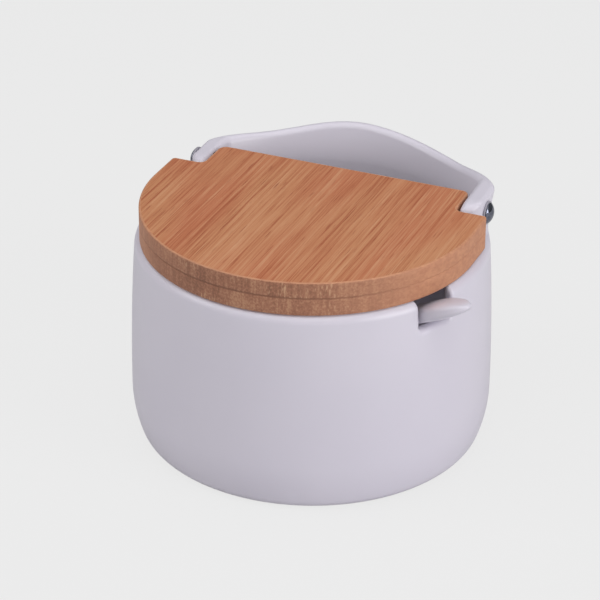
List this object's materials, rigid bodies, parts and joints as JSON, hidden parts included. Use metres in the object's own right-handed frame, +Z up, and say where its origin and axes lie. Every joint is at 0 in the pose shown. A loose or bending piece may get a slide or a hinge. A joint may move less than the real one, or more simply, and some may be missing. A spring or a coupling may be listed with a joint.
{
  "type": "salt box with hinged lid",
  "caption": "Round stoneware salt box with a raised wavy back wall, a hinged two-board bamboo lid and a spoon in a rim notch.",
  "frame": {"origin": "centre of the flat ring that the tub stands on", "axes": "+Z up, -Y towards the round front of the lid, the hinge axis runs along X"},
  "size_m": [0.1309, 0.1253, 0.088],
  "materials": {
    "glaze": "glossy pale grey glaze, bare clay on the foot ring",
    "spoon_glaze": "glossy pale grey glaze",
    "bamboo_upper": "satin oiled bamboo, reddish brown, fine straight grain",
    "bamboo_lower": "satin oiled bamboo, reddish brown, dotted ends of the fibres on the edge",
    "chrome": "polished",
    "nylon": "smooth dark nylon"
  },
  "bodies": {
    "tub": {"stoneware_tub": "glaze", "left_hinge_bush": "nylon", "right_hinge_bush": "nylon"},
    "lid": {"lid_upper_board": "bamboo_upper", "lid_lower_board": "bamboo_lower", "left_hinge_screw": "chrome", "right_hinge_screw": "chrome"},
    "spoon": {"salt_spoon": "spoon_glaze"}
  },
  "joints": [
    {"name": "lid_hinge", "type": "hinge", "parent": "tub", "child": "lid", "pos_m": [0, 0.024, 0.0809], "axis": [-1, 0, 0], "range_deg": [0, 105]},
    {"name": "spoon_slide", "type": "slide", "parent": "tub", "child": "spoon", "axis": [0.7789, -0.3715, 0.5053], "range_m": [0, 0.07]}
  ]
}
